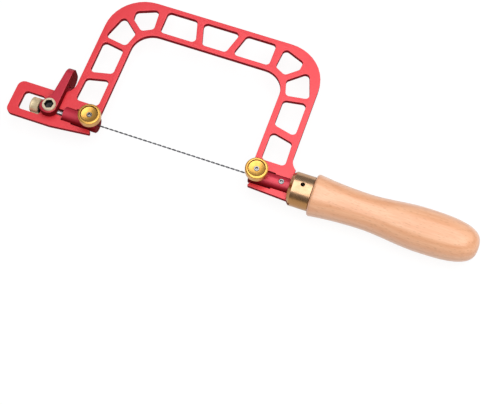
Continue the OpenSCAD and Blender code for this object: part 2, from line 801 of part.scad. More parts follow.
frame_plate();
front_clamp_body();
rear_clamp_body();
front_pressure_pad();
rear_pressure_pad();
front_clamp_screw();
rear_clamp_screw();
front_knob();
rear_knob();
blade();
tension_rod();
adjusting_nut();
thrust_collar();
cross_pin();
cam_lever();
rear_set_screw();
ferrule();
ferrule_set_screw();
handle_stud();
handle();
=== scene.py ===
"""Fret saw with a pierced red bow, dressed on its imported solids.

Sizes are in millimetres and become metres where a mesh is made. Turned pieces are built about
their own Z axis and then set on the axis of the solid that they stand for.
"""
import json
import math

import bmesh
import bpy
from mathutils import Matrix, Vector
from mathutils.geometry import tessellate_polygon

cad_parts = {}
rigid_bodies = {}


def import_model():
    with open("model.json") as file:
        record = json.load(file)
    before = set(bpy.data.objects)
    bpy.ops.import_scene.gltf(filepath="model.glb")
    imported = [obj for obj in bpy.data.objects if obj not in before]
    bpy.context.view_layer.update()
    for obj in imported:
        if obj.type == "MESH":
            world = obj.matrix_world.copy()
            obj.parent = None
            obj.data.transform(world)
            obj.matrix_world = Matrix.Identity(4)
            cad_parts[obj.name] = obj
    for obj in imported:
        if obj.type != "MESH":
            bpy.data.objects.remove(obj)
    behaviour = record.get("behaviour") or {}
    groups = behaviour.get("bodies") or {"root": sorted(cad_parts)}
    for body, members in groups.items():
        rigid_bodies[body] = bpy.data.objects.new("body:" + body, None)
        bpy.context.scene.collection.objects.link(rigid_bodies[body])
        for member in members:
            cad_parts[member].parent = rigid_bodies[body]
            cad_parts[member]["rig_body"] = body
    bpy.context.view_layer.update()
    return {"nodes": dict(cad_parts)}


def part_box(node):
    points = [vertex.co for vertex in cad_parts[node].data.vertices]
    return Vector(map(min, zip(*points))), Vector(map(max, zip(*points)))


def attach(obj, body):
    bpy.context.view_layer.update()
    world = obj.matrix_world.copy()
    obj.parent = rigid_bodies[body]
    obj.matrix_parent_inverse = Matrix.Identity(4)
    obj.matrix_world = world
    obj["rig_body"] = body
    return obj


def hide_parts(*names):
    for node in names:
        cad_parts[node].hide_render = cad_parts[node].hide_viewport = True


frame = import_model()

MM = 0.001
TURN = 2 * math.pi
SAME_PLACE = 1e-6
SMOOTH_ANGLE = math.radians(32)
ALONG_Z = Matrix.Identity(4)
ALONG_X = Matrix.Rotation(math.pi / 2, 4, "Y")


# Places and sizes of the solids

def size_of(node):
    """Width, depth and height of a solid, in millimetres."""
    low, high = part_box(node)
    return (high - low) / MM


def middle_of(node):
    """Middle of a solid, in metres."""
    low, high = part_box(node)
    return (low + high) / 2


def seat_of(node, turn=ALONG_Z):
    """Matrix that sets a turned piece on the solid's own axis, with its zero at the solid's low end."""
    low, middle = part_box(node)[0], middle_of(node)
    foot = (low.x, middle.y, middle.z) if turn is ALONG_X else (middle.x, middle.y, low.z)
    return Matrix.Translation(Vector(foot)) @ turn


# Mesh building

def held(share):
    """A share kept between 0 and 1."""
    return min(1.0, max(0.0, share))


def eased(share):
    """A share from 0 to 1 that starts and ends gently."""
    return share * share * (3 - 2 * share)


def add_object(name, data):
    """New object of the scene that shows the given mesh, lamp or camera."""
    made = bpy.data.objects.new(name, data)
    bpy.context.scene.collection.objects.link(made)
    return made


def keep_flats(made, weight=50):
    """Lets the large flat faces set the shading at the rounded edges."""
    weighted = made.modifiers.new("flat_faces", "WEIGHTED_NORMAL")
    weighted.keep_sharp = True
    weighted.weight = weight


def make_piece(name, points, faces, node, material, seat=ALONG_Z, areas=()):
    """Mesh piece in place of a solid: it rides on the solid's body, and the solid is hidden.
    Each area is a range of faces with a finish of its own."""
    mesh = bpy.data.meshes.new(name)
    mesh.from_pydata([Vector(p) * MM for p in points], [], faces)
    shell = bmesh.new()
    shell.from_mesh(mesh)
    bmesh.ops.recalc_face_normals(shell, faces=shell.faces)
    shell.to_mesh(mesh)
    shell.free()
    mesh.polygons.foreach_set("use_smooth", [True] * len(mesh.polygons))
    mesh.set_sharp_from_angle(angle=SMOOTH_ANGLE)
    mesh.materials.append(material)
    for area, finish in areas:
        mesh.materials.append(finish)
        for i in area:
            mesh.polygons[i].material_index = len(mesh.materials) - 1
    made = add_object(name, mesh)
    made.matrix_world = seat
    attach(made, frame["nodes"][node]["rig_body"])
    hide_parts(node)
    return made


def round_corners(corners, steps=5):
    """Open outline through (x, y, radius) corners, with each corner rounded to its radius."""
    rounded = []
    for i, (x, y, radius) in enumerate(corners):
        here = Vector((x, y))
        if radius == 0 or i in (0, len(corners) - 1):
            rounded.append((x, y))
            continue
        back = (Vector(corners[i - 1][:2]) - here).normalized()
        ahead = (Vector(corners[i + 1][:2]) - here).normalized()
        half = back.angle(ahead) / 2
        centre = here + (back + ahead).normalized() * radius / math.sin(half)
        start = here + back * radius / math.tan(half) - centre
        sweep = start.angle_signed(here + ahead * radius / math.tan(half) - centre)
        for k in range(steps + 1):
            a = -sweep * k / steps
            rounded.append((centre.x + start.x * math.cos(a) - start.y * math.sin(a),
                            centre.y + start.x * math.sin(a) + start.y * math.cos(a)))
    return rounded


def inset_loop(loop, distances):
    """The loop moved into the metal on its left, each point by its own distance."""
    least_share = 0.3
    moved = []
    for i, (here, distance) in enumerate(zip(loop, distances)):
        before = (here - loop[i - 1]).normalized()
        after = (loop[(i + 1) % len(loop)] - here).normalized()
        normals = Vector((-before.y, before.x)), Vector((-after.y, after.x))
        share = max(least_share, 1 + normals[0].dot(normals[1]))
        moved.append(here + (normals[0] + normals[1]) * distance / share)
    return moved


def join_rings(rings, closed=False):
    """Faces between neighbouring rings of points; a ring of one point is a pole."""
    faces = []
    pairs = list(zip(rings, rings[1:]))
    if closed:
        pairs.append((rings[-1], rings[0]))
    for low, high in pairs:
        count = max(len(low), len(high))
        for i in range(count):
            j = (i + 1) % count
            quad = [low[i % len(low)], low[j % len(low)], high[j % len(high)], high[i % len(high)]]
            faces.append(list(dict.fromkeys(quad)))
    return faces


def fill_rings(points, rings):
    """Triangles between the outer ring of a level face and the rings of its holes."""
    order = [i for ring in rings for i in ring]
    outlines = [[Vector((*points[i][:2], 0)) for i in ring] for ring in rings]
    return [[order[i] for i in triangle] for triangle in tessellate_polygon(outlines)]


def turn_profile(profile, steps, closed=False, shape=None):
    """Points and faces of a solid turned about Z from (radius, height) pairs.
    shape(angle, radius, height) gives another radius, such as that of a knurl or a thread."""
    points, rings = [], []
    for radius, height in profile:
        ring_steps = steps if radius > SAME_PLACE else 1
        rings.append(range(len(points), len(points) + ring_steps))
        for i in range(ring_steps):
            angle = TURN * i / steps
            r = shape(angle, radius, height) if shape else radius
            points.append((r * math.cos(angle), r * math.sin(angle), height))
    return points, join_rings(rings, closed)


def sink_socket(points, top, key, depth, chamfer, tip_drop, steps, turn=0.0):
    """Adds the points of a hexagon socket with a conical end, and returns its rings, rim first."""
    sixth = TURN / 6
    rings = []
    for half_key, z in ((key / 2 + chamfer, top), (key / 2, top - chamfer), (key / 2, top - depth)):
        rings.append(range(len(points), len(points) + steps))
        for i in range(steps):
            angle = TURN * i / steps
            r = half_key / math.cos((angle - turn) % sixth - sixth / 2)
            points.append((r * math.cos(angle), r * math.sin(angle), z))
    rings.append([len(points)])
    points.append((0, 0, top - depth - tip_drop))
    return rings


def bevel_solid(node, material, width):
    """Keeps a solid, breaks its sharp edges and gives it a finish."""
    weld_gap, flat_angle, flat_weight = 0.002, math.radians(0.5), 80
    solid = frame["nodes"][node]
    solid.data.materials.clear()
    solid.data.materials.append(material)
    weld = solid.modifiers.new("join_facets", "WELD")
    weld.merge_threshold = weld_gap * MM
    planes = solid.modifiers.new("whole_flats", "DECIMATE")
    planes.decimate_type = "DISSOLVE"
    planes.angle_limit = flat_angle
    bevel = solid.modifiers.new("broken_edges", "BEVEL")
    bevel.width = width * MM
    bevel.segments = 2
    bevel.limit_method = "ANGLE"
    bevel.angle_limit = SMOOTH_ANGLE
    solid.data.polygons.foreach_set("use_smooth", [True] * len(solid.data.polygons))
    keep_flats(solid, flat_weight)


# Shader groups: effects that several finishes share

def add_node(tree, kind, **settings):
    """Shader node with its settings; names that start with in_ are those of input sockets."""
    made = tree.nodes.new(kind)
    for key, value in settings.items():
        if key.startswith("in_"):
            made.inputs[key[3:].replace("_", " ")].default_value = value
        else:
            setattr(made, key, value)
    return made


def new_group(name, inputs, outputs):
    """Empty shader group with named sockets, given as (name, kind, default)."""
    tree = bpy.data.node_groups.new(name, "ShaderNodeTree")
    for socket, kind, default in inputs:
        made = tree.interface.new_socket(socket, in_out="INPUT", socket_type="NodeSocket" + kind)
        if default is not None:
            made.default_value = default
    for socket, kind in outputs:
        tree.interface.new_socket(socket, in_out="OUTPUT", socket_type="NodeSocket" + kind)
    return tree, tree.nodes.new("NodeGroupInput"), tree.nodes.new("NodeGroupOutput")


def scaled_sum(tree, first, factor, second, clamp=False):
    """The first value times a factor, plus the second value."""
    made = add_node(tree, "ShaderNodeMath", operation="MULTIPLY_ADD", use_clamp=clamp)
    made.inputs[1].default_value = factor
    tree.links.new(first, made.inputs[0])
    tree.links.new(second, made.inputs[2])
    return made.outputs["Value"]


def make_smudges():
    """Slow patches of handling marks, from 0 to 1."""
    tree, given, out = new_group(
        "handling_smudges", [("Place", "Vector", None), ("Per Metre", "Float", 60.0)],
        [("Mask", "Float")])
    cloud = add_node(tree, "ShaderNodeTexNoise", in_Detail=4.0, in_Roughness=0.6)
    shape = add_node(tree, "ShaderNodeMapRange", interpolation_type="SMOOTHSTEP",
                     in_From_Min=0.35, in_From_Max=0.7)
    tree.links.new(given.outputs["Place"], cloud.inputs["Vector"])
    tree.links.new(given.outputs["Per Metre"], cloud.inputs["Scale"])
    tree.links.new(cloud.outputs["Fac"], shape.inputs["Value"])
    tree.links.new(shape.outputs["Result"], out.inputs["Mask"])
    return tree


def make_blasted_grain():
    """Fine pits of a blasted and anodised surface, as a height and as a tone."""
    pit_share = 0.6
    tree, given, out = new_group(
        "blasted_grain", [("Place", "Vector", None), ("Per Metre", "Float", 4500.0)],
        [("Height", "Float"), ("Tone", "Float")])
    fine = add_node(tree, "ShaderNodeTexNoise", in_Detail=3.0, in_Roughness=0.7)
    pits = add_node(tree, "ShaderNodeTexVoronoi", feature="SMOOTH_F1", in_Smoothness=0.6)
    for texture in (fine, pits):
        tree.links.new(given.outputs["Place"], texture.inputs["Vector"])
        tree.links.new(given.outputs["Per Metre"], texture.inputs["Scale"])
    height = scaled_sum(tree, pits.outputs["Distance"], pit_share, fine.outputs["Fac"], clamp=True)
    tree.links.new(height, out.inputs["Height"])
    tree.links.new(fine.outputs["Fac"], out.inputs["Tone"])
    return tree


def make_turned_lines():
    """Rings that a lathe tool leaves round a piece's own Z axis, as a height."""
    tree, given, out = new_group(
        "turned_lines", [("Place", "Vector", None), ("Per Metre", "Float", 6000.0)],
        [("Height", "Float")])
    split = add_node(tree, "ShaderNodeSeparateXYZ")
    across = add_node(tree, "ShaderNodeVectorMath", operation="LENGTH")
    flat = add_node(tree, "ShaderNodeVectorMath", operation="MULTIPLY")
    flat.inputs[1].default_value = (1, 1, 0)
    path = add_node(tree, "ShaderNodeMath", operation="ADD")
    lines = add_node(tree, "ShaderNodeTexNoise", noise_dimensions="1D", in_Detail=2.0,
                     in_Roughness=0.8)
    tree.links.new(given.outputs["Place"], split.inputs["Vector"])
    tree.links.new(given.outputs["Place"], flat.inputs[0])
    tree.links.new(flat.outputs["Vector"], across.inputs[0])
    tree.links.new(across.outputs["Value"], path.inputs[0])
    tree.links.new(split.outputs["Z"], path.inputs[1])
    tree.links.new(path.outputs["Value"], lines.inputs["W"])
    tree.links.new(given.outputs["Per Metre"], lines.inputs["Scale"])
    tree.links.new(lines.outputs["Fac"], out.inputs["Height"])
    return tree


def make_edge_rub_and_highlight():
    """Broken patches along the sharp edges of a piece, where its skin is rubbed and a painted highlight
    lightens it, from 0 to 1.
    """
    tree, given, out = new_group(
        "edge_rub_and_highlight", [("Place", "Vector", None), ("Per Metre", "Float", 900.0),
                     ("Reach", "Float", 0.0004)],
        [("Mask", "Float")])
    rounded = add_node(tree, "ShaderNodeBevel", samples=4)
    surface = add_node(tree, "ShaderNodeNewGeometry")
    agree = add_node(tree, "ShaderNodeVectorMath", operation="DOT_PRODUCT")
    edge = add_node(tree, "ShaderNodeMapRange", interpolation_type="SMOOTHSTEP",
                    in_From_Min=0.995, in_From_Max=0.88)
    patchy = add_node(tree, "ShaderNodeTexNoise", in_Detail=3.0, in_Roughness=0.7)
    worn = add_node(tree, "ShaderNodeMapRange", in_From_Min=0.3, in_From_Max=0.65)
    both = add_node(tree, "ShaderNodeMath", operation="MULTIPLY")
    tree.links.new(given.outputs["Reach"], rounded.inputs["Radius"])
    tree.links.new(rounded.outputs["Normal"], agree.inputs[0])
    tree.links.new(surface.outputs["Normal"], agree.inputs[1])
    tree.links.new(agree.outputs["Value"], edge.inputs["Value"])
    tree.links.new(given.outputs["Place"], patchy.inputs["Vector"])
    tree.links.new(given.outputs["Per Metre"], patchy.inputs["Scale"])
    tree.links.new(patchy.outputs["Fac"], worn.inputs["Value"])
    tree.links.new(edge.outputs["Result"], both.inputs[0])
    tree.links.new(worn.outputs["Result"], both.inputs[1])
    tree.links.new(both.outputs["Value"], out.inputs["Mask"])
    return tree


def make_painted_side_shade():
    """Mask for painted shade on the sides that stand square to the plate: 0 on its faces, 1 on its
    sides.
    """
    tree, _, out = new_group("painted_side_shade", [], [("Mask", "Float")])
    surface = add_node(tree, "ShaderNodeNewGeometry")
    split = add_node(tree, "ShaderNodeSeparateXYZ")
    flat = add_node(tree, "ShaderNodeMath", operation="ABSOLUTE")
    side = add_node(tree, "ShaderNodeMapRange", interpolation_type="SMOOTHSTEP",
                    in_From_Min=0.985, in_From_Max=0.5)
    tree.links.new(surface.outputs["Normal"], split.inputs["Vector"])
    tree.links.new(split.outputs["Z"], flat.inputs[0])
    tree.links.new(flat.outputs["Value"], side.inputs["Value"])
    tree.links.new(side.outputs["Result"], out.inputs["Mask"])
    return tree


SMUDGES = make_smudges()
BLASTED_GRAIN = make_blasted_grain()
TURNED_LINES = make_turned_lines()
EDGE_RUB_AND_HIGHLIGHT = make_edge_rub_and_highlight()
PAINTED_SIDE_SHADE = make_painted_side_shade()


# Finishes

def new_finish(name):
    """Material with a Principled shader and its own object coordinates."""
    material = bpy.data.materials.new(name)
    material.use_nodes = True
    tree = material.node_tree
    place = add_node(tree, "ShaderNodeTexCoord").outputs["Object"]
    return material, tree, tree.nodes["Principled BSDF"], place


def place_group(tree, group, place, per_metre):
    """Shared effect at a place, with so many marks to the metre."""
    made = add_node(tree, "ShaderNodeGroup", node_tree=group)
    tree.links.new(place, made.inputs["Place"])
    made.inputs["Per Metre"].default_value = per_metre
    return made


def mix_colours(tree, mask, first, second):
    """From the first colour to the second as the mask rises."""
    made = add_node(tree, "ShaderNodeMix", data_type="RGBA")
    made.inputs["A"].default_value = (*first, 1)
    made.inputs["B"].default_value = (*second, 1)
    tree.links.new(mask, made.inputs["Factor"])
    return made.outputs["Result"]


def tint(tree, mask, under, colour):
    """A colour laid over another where the mask is high."""
    made = add_node(tree, "ShaderNodeMix", data_type="RGBA")
    made.inputs["B"].default_value = (*colour, 1)
    tree.links.new(mask, made.inputs["Factor"])
    tree.links.new(under, made.inputs["A"])
    return made.outputs["Result"]


def set_on_axis(tree, place, seat):
    """Coordinates of a solid moved to its own axis, so that turned rings run round it."""
    moved = add_node(tree, "ShaderNodeMapping", vector_type="TEXTURE",
                     in_Location=seat.translation, in_Rotation=seat.to_euler())
    tree.links.new(place, moved.inputs["Vector"])
    return moved.outputs["Vector"]


def spread(tree, mask, low, high):
    """A mask from 0 to 1, spread between two values."""
    made = add_node(tree, "ShaderNodeMapRange", in_To_Min=low, in_To_Max=high)
    tree.links.new(mask, made.inputs["Value"])
    return made.outputs["Result"]


def bump(tree, shader, height, strength, depth):
    """Fine relief of a finish, with its depth in millimetres."""
    made = add_node(tree, "ShaderNodeBump", in_Strength=strength, in_Distance=depth * MM)
    tree.links.new(height, made.inputs["Height"])
    tree.links.new(made.outputs["Normal"], shader.inputs["Normal"])


def anodised(name, colour, deep_colour, side_shade_colour, rubbed_highlight_colour, metallic, roughness, sheen):
    """Blasted and dyed aluminium: a satin skin with fine pits, painted shade on the machined sides,
    and rubbed edges lightened by a painted highlight."""
    grain_share, smudge_share, rub_highlight_share = 0.5, 0.35, 0.3
    clean_part, smudged_part, side_part = 0.03, 0.05, 0.3
    material, tree, shader, place = new_finish(name)
    grain = place_group(tree, BLASTED_GRAIN, place, per_metre=5200)
    smudge = place_group(tree, SMUDGES, place, per_metre=45).outputs["Mask"]
    rub_and_highlight = place_group(tree, EDGE_RUB_AND_HIGHLIGHT, place, per_metre=700).outputs["Mask"]
    side = add_node(tree, "ShaderNodeGroup", node_tree=PAINTED_SIDE_SHADE).outputs["Mask"]
    tone = scaled_sum(tree, grain.outputs["Tone"], grain_share,
                      spread(tree, smudge, 0.0, smudge_share), clamp=True)
    skin = mix_colours(tree, tone, colour, deep_colour)
    # Painted shade: the upright sides take the darker side shade colour.
    skin = tint(tree, side, skin, side_shade_colour)
    # Rubbed edges, lightened as a painted highlight.
    skin = tint(tree, spread(tree, rub_and_highlight, 0.0, rub_highlight_share), skin, rubbed_highlight_colour)
    faces_rough = spread(tree, smudge, roughness - clean_part, roughness + smudged_part)
    tree.links.new(skin, shader.inputs["Base Color"])
    tree.links.new(spread(tree, side, metallic, 0.0), shader.inputs["Metallic"])
    tree.links.new(scaled_sum(tree, side, side_part, faces_rough), shader.inputs["Roughness"])
    tree.links.new(spread(tree, side, sheen, 0.0), shader.inputs["Coat Weight"])
    shader.inputs["Coat Roughness"].default_value = roughness
    shader.inputs["Coat IOR"].default_value = 1.6
    shader.inputs["Specular IOR Level"].default_value = 0.06
    bump(tree, shader, grain.outputs["Height"], strength=0.25, depth=0.03)
    return material


def turned_metal(name, colour, dull_colour, roughness, metallic=1.0, lacquer=0.0, side_shade_colour=None,
                 seat=None):
    """Metal off the lathe: fine rings, patches where it has dulled, and rubbed edges brightened as a
    painted highlight. A side shade colour paints shade on the sides that stand square to the plate."""
    bright_gain, bright_lift, rub_highlight_share = 1.12, 0.02, 0.6
    line_part, smudge_part = 0.12, 0.06
    material, tree, shader, place = new_finish(name)
    if seat is not None:
        place = set_on_axis(tree, place, seat)
    lines = place_group(tree, TURNED_LINES, place, per_metre=9000).outputs["Height"]
    smudge = place_group(tree, SMUDGES, place, per_metre=130).outputs["Mask"]
    rub_and_highlight = place_group(tree, EDGE_RUB_AND_HIGHLIGHT, place, per_metre=900).outputs["Mask"]
    skin = mix_colours(tree, smudge, colour, dull_colour)
    if side_shade_colour is not None:
        # Painted shade on the sides that stand square to the plate.
        side = add_node(tree, "ShaderNodeGroup", node_tree=PAINTED_SIDE_SHADE).outputs["Mask"]
        skin = tint(tree, side, skin, side_shade_colour)
    # Rubbed edges brightened as a painted highlight.
    bright = [min(1.0, bright_gain * c + bright_lift) for c in colour]
    skin = tint(tree, spread(tree, rub_and_highlight, 0.0, rub_highlight_share), skin, bright)
    patch_rough = spread(tree, smudge, roughness - smudge_part, roughness + smudge_part)
    tree.links.new(skin, shader.inputs["Base Color"])
    tree.links.new(scaled_sum(tree, lines, line_part, patch_rough), shader.inputs["Roughness"])
    shader.inputs["Metallic"].default_value = metallic
    shader.inputs["Coat Weight"].default_value = lacquer
    shader.inputs["Coat Roughness"].default_value = 0.15
    bump(tree, shader, lines, strength=0.3, depth=0.01)
    return material


def beech_wood():
    """Oiled beech: pale growth bands along the handle, short brown flecks and fine pores."""
    pale, deep, fleck_brown = (0.97, 0.53, 0.31), (0.83, 0.38, 0.19), (0.6, 0.27, 0.13)
    band_share, fleck_share = 0.5, 0.38
    material, tree, shader, place = new_finish("oiled_beech")
    long_grain = add_node(tree, "ShaderNodeMapping", in_Scale=(1.0, 1.0, 0.06))
    short_grain = add_node(tree, "ShaderNodeMapping", in_Scale=(1.0, 1.0, 0.26))
    bands = add_node(tree, "ShaderNodeTexWave", wave_type="BANDS", bands_direction="X",
                     in_Scale=70.0, in_Distortion=5.0, in_Detail=3.0, in_Detail_Scale=1.2)
    fibres = add_node(tree, "ShaderNodeTexNoise", in_Scale=900.0, in_Detail=5.0, in_Roughness=0.65)
    flecks = add_node(tree, "ShaderNodeTexVoronoi", in_Scale=850.0)
    fleck = add_node(tree, "ShaderNodeMapRange", interpolation_type="SMOOTHSTEP",
                     in_From_Min=0.14, in_From_Max=0.34, in_To_Min=1.0, in_To_Max=0.0)
    tree.links.new(place, long_grain.inputs["Vector"])
    tree.links.new(place, short_grain.inputs["Vector"])
    tree.links.new(long_grain.outputs["Vector"], bands.inputs["Vector"])
    tree.links.new(long_grain.outputs["Vector"], fibres.inputs["Vector"])
    tree.links.new(short_grain.outputs["Vector"], flecks.inputs["Vector"])
    tree.links.new(flecks.outputs["Distance"], fleck.inputs["Value"])

    tone = scaled_sum(tree, bands.outputs["Fac"], band_share,
                      spread(tree, fibres.outputs["Fac"], -0.7, 1.1), clamp=True)
    skin = mix_colours(tree, tone, pale, deep)
    skin = tint(tree, spread(tree, fleck.outputs["Result"], 0.0, fleck_share), skin, fleck_brown)
    smudge = place_group(tree, SMUDGES, place, per_metre=40).outputs["Mask"]
    tree.links.new(skin, shader.inputs["Base Color"])
    tree.links.new(spread(tree, smudge, 0.36, 0.46), shader.inputs["Roughness"])
    shader.inputs["Coat Weight"].default_value = 0.8
    shader.inputs["Coat Roughness"].default_value = 0.3
    bump(tree, shader, fibres.outputs["Fac"], strength=0.12, depth=0.05)
    return material


# Each anodised finish: colour, deep tone, painted shade for its upright sides, rubbed edge colour with
# a painted highlight.
BOW_RED = anodised(
    "red_anodised_bow", (0.92, 0.043, 0.06), (0.84, 0.036, 0.05), (0.3, 0.01, 0.018),
    (0.95, 0.2, 0.2), metallic=0.2, roughness=0.38, sheen=1.0)
CLAMP_CRIMSON = anodised(
    "crimson_anodised_rods", (0.66, 0.028, 0.06), (0.56, 0.02, 0.046), (0.19, 0.003, 0.006),
    (0.7, 0.1, 0.13), metallic=0.3, roughness=0.36, sheen=0.7)
KNOB_BRASS = turned_metal("polished_knob_brass", (0.9, 0.5, 0.12), (0.82, 0.42, 0.09), 0.34)
# Darker brasses painted as shade on the knob's outer wall and in its groove.
WALL_SHADE_BRASS = turned_metal("knob_wall_shade_brass", (0.64, 0.35, 0.12), (0.55, 0.28, 0.09), 0.34)
GROOVE_SHADE_BRASS = turned_metal("groove_shade_brass", (0.2, 0.1, 0.025), (0.14, 0.07, 0.018), 0.5)
PALE_BRASS = turned_metal(
    "pale_nut_brass", (0.88, 0.72, 0.46), (0.8, 0.6, 0.35), 0.36, metallic=0.6)
PIN_BRASS = turned_metal(
    "pivot_pin_brass", (0.92, 0.78, 0.57), (0.8, 0.64, 0.43), 0.3, metallic=0.45)
# The ferrule's side colour is painted shade on its sides that stand square to the plate.
FERRULE_BRASS = turned_metal(
    "ferrule_brass", (0.68, 0.43, 0.26), (0.6, 0.36, 0.2), 0.24, lacquer=0.15,
    side_shade_colour=(0.42, 0.21, 0.075), seat=seat_of("ferrule", ALONG_X))
BRIGHT_STEEL = turned_metal("bright_rod_steel", (0.72, 0.72, 0.73), (0.58, 0.58, 0.6), 0.25)
SCREW_STEEL = turned_metal("grey_screw_steel", (0.4, 0.39, 0.39), (0.3, 0.29, 0.29), 0.28)
# Blackened steel for the black screw and collar, also used as painted shade in the pin's socket.
BLACK_STEEL_AND_SHADE = turned_metal(
    "blackened_steel_and_shade", (0.035, 0.034, 0.036), (0.06, 0.057, 0.055), 0.42, metallic=0.85)
BLADE_STEEL = turned_metal("blued_blade_steel", (0.16, 0.16, 0.175), (0.1, 0.1, 0.11), 0.34)
BEECH = beech_wood()


# Bow

def plate_loops(solid):
    """Edge loops of the plate's upper face, with the metal on their left, as (x, y) in millimetres."""
    digits = 7
    top = max(v.co.z for v in solid.data.vertices)
    keys = [(round(v.co.x, digits), round(v.co.y, digits)) for v in solid.data.vertices]
    edges = set()
    for face in solid.data.polygons:
        if all(abs(solid.data.vertices[v].co.z - top) < SAME_PLACE for v in face.vertices):
            corners = [keys[v] for v in face.vertices]
            edges.update(zip(corners, corners[1:] + corners[:1]))
    following = {a: b for a, b in edges if (b, a) not in edges}
    loops = []
    while following:
        start, here = next(iter(following.items()))
        del following[start]
        loop = [start]
        while here != start:
            loop.append(here)
            here = following.pop(here)
        loops.append([Vector(p) / MM for p in loop])
    return sorted(loops, key=len, reverse=True)


def make_bow():
    """The bow plate, with its edges broken all round."""
    edge_break = 0.3
    part_break = 0.3 * edge_break
    low, high = (corner.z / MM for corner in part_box("frame_plate"))
    levels = [(edge_break, low), (part_break, low + part_break), (0, low + edge_break),
              (0, high - edge_break), (part_break, high - part_break), (edge_break, high)]
    points, faces, under_rings, upper_rings = [], [], [], []
    for loop in plate_loops(frame["nodes"]["frame_plate"]):
        rings = []
        for inset, z in levels:
            rings.append(range(len(points), len(points) + len(loop)))
            points += [(p.x, p.y, z) for p in inset_loop(loop, [inset] * len(loop))]
        faces += join_rings(rings)
        under_rings.append(rings[0])
        upper_rings.append(rings[-1])
    faces += fill_rings(points, under_rings) + fill_rings(points, upper_rings)
    keep_flats(make_piece("bow", points, faces, "frame_plate", BOW_RED))


# Tension lever, about its pivot and seen from above

LEVER_SIDE = 5.35
LEVER_ROOT_T = 7.8
LEVER_TIP_T = 4.9
LEVER_LEN = 34.5
LEVER_CORNER_R = 1.4
LEVER_BEND_R = 1.5
LEVER_END_R = 7.0
LEVER_END_Y = LEVER_LEN - LEVER_END_R
LEVER_BORE_R = 4.9
FORK_HALF = 2.2
FORK_ROOT_Y = 21.976
CAM_REACH = 7.5
CAM_LIFT = 0.6
CAM_SWING = math.radians(40)
CAM_RATE = CAM_LIFT / CAM_SWING
BARREL_LOW = 6.3


def lever_left_x(y):
    """The tapered side of the lever's arm."""
    return LEVER_SIDE - LEVER_ROOT_T + (LEVER_ROOT_T - LEVER_TIP_T) * y / LEVER_LEN


def cam_point(opened):
    """Point of the cam that bears on the collar when the lever is open by an angle."""
    reach = CAM_REACH - CAM_LIFT * opened / CAM_SWING
    return Vector((-reach * math.cos(opened) - CAM_RATE * math.sin(opened),
                   reach * math.sin(opened) - CAM_RATE * math.cos(opened)))


def lever_outline():
    """Outline of the lever, anticlockwise from the foot of its straight side."""
    end_steps, corner_steps, cam_steps, barrel_steps = 8, 6, 12, 36
    right_rows, left_rows = [-CAM_RATE, 3, 6, 9, 13, 17, FORK_ROOT_Y, 25], [25, FORK_ROOT_Y, 17, 13]
    bend_y = LEVER_LEN - LEVER_CORNER_R
    end_rows = [LEVER_END_Y + (bend_y - LEVER_END_Y) * i / end_steps for i in range(end_steps + 1)]
    corner = []
    for i in range(1, corner_steps + 1):
        a = math.pi / 2 * i / corner_steps
        corner.append((LEVER_CORNER_R * (1 - math.cos(a)),
                       LEVER_LEN - LEVER_CORNER_R * (1 - math.sin(a))))
    right = [Vector((LEVER_SIDE, y)) for y in right_rows + end_rows]
    right += [Vector((LEVER_SIDE - x, y)) for x, y in corner]
    left = [Vector((lever_left_x(bend_y) + x, y)) for x, y in reversed(corner)]
    left += [Vector((lever_left_x(y), y)) for y in end_rows[::-1] + left_rows]

    cam = [cam_point(CAM_SWING * (1 - i / cam_steps)) for i in range(cam_steps + 1)]
    flat = Vector((math.sin(CAM_SWING), math.cos(CAM_SWING)))
    foot, lean = Vector((lever_left_x(0), 0)) - cam[0], Vector((LEVER_ROOT_T - LEVER_TIP_T, LEVER_LEN))
    root = cam[0] + flat * foot.cross(lean) / flat.cross(lean)
    bend = round_corners([(*left[-1], 0), (*root, LEVER_BEND_R), (*cam[0], 0)])

    barrel_r, barrel_drop = (CAM_REACH + LEVER_SIDE) / 2, BARREL_LOW - CAM_RATE
    barrel = []
    for i in range(1, barrel_steps):
        a = math.pi * (i / barrel_steps - 1)
        barrel.append(Vector((LEVER_SIDE - barrel_r + barrel_r * math.cos(a),
                              barrel_drop * math.sin(a) - CAM_RATE)))
    return right + left + [Vector(p) for p in bend[1:-1]] + cam + barrel


def lever_height(y, half_w):
    """Height of the lever's upper face, which falls off round its end."""
    over = min(LEVER_END_R, max(0.0, y - LEVER_END_Y))
    return half_w - LEVER_END_R + math.sqrt(LEVER_END_R ** 2 - over ** 2)


def lever_edge_r(p):
    """Radius of the lever's edge: small on the arm, and growing round the barrel as its wall allows."""
    plain, largest, wall_share = 0.38, 1.8, 0.75
    barrel_x, fade_x, barrel_y, fade_y = 4.6, 3, 8, 5
    barrel = held((barrel_x - p.x) / fade_x) * held((barrel_y - p.y) / fade_y)
    full = max(plain, min(largest, wall_share * (p.length - LEVER_BORE_R)))
    return plain + (full - plain) * eased(barrel)


def mirror_below(points, faces):
    """Adds the mirror image below Z = 0; points at that level are shared."""
    twin = {i: i for i, p in enumerate(points) if p[2] == 0.0}
    for i in range(len(points)):
        if i not in twin:
            twin[i] = len(points)
            points.append((points[i][0], points[i][1], -points[i][2]))
    faces += [[twin[i] for i in reversed(face)] for face in faces]


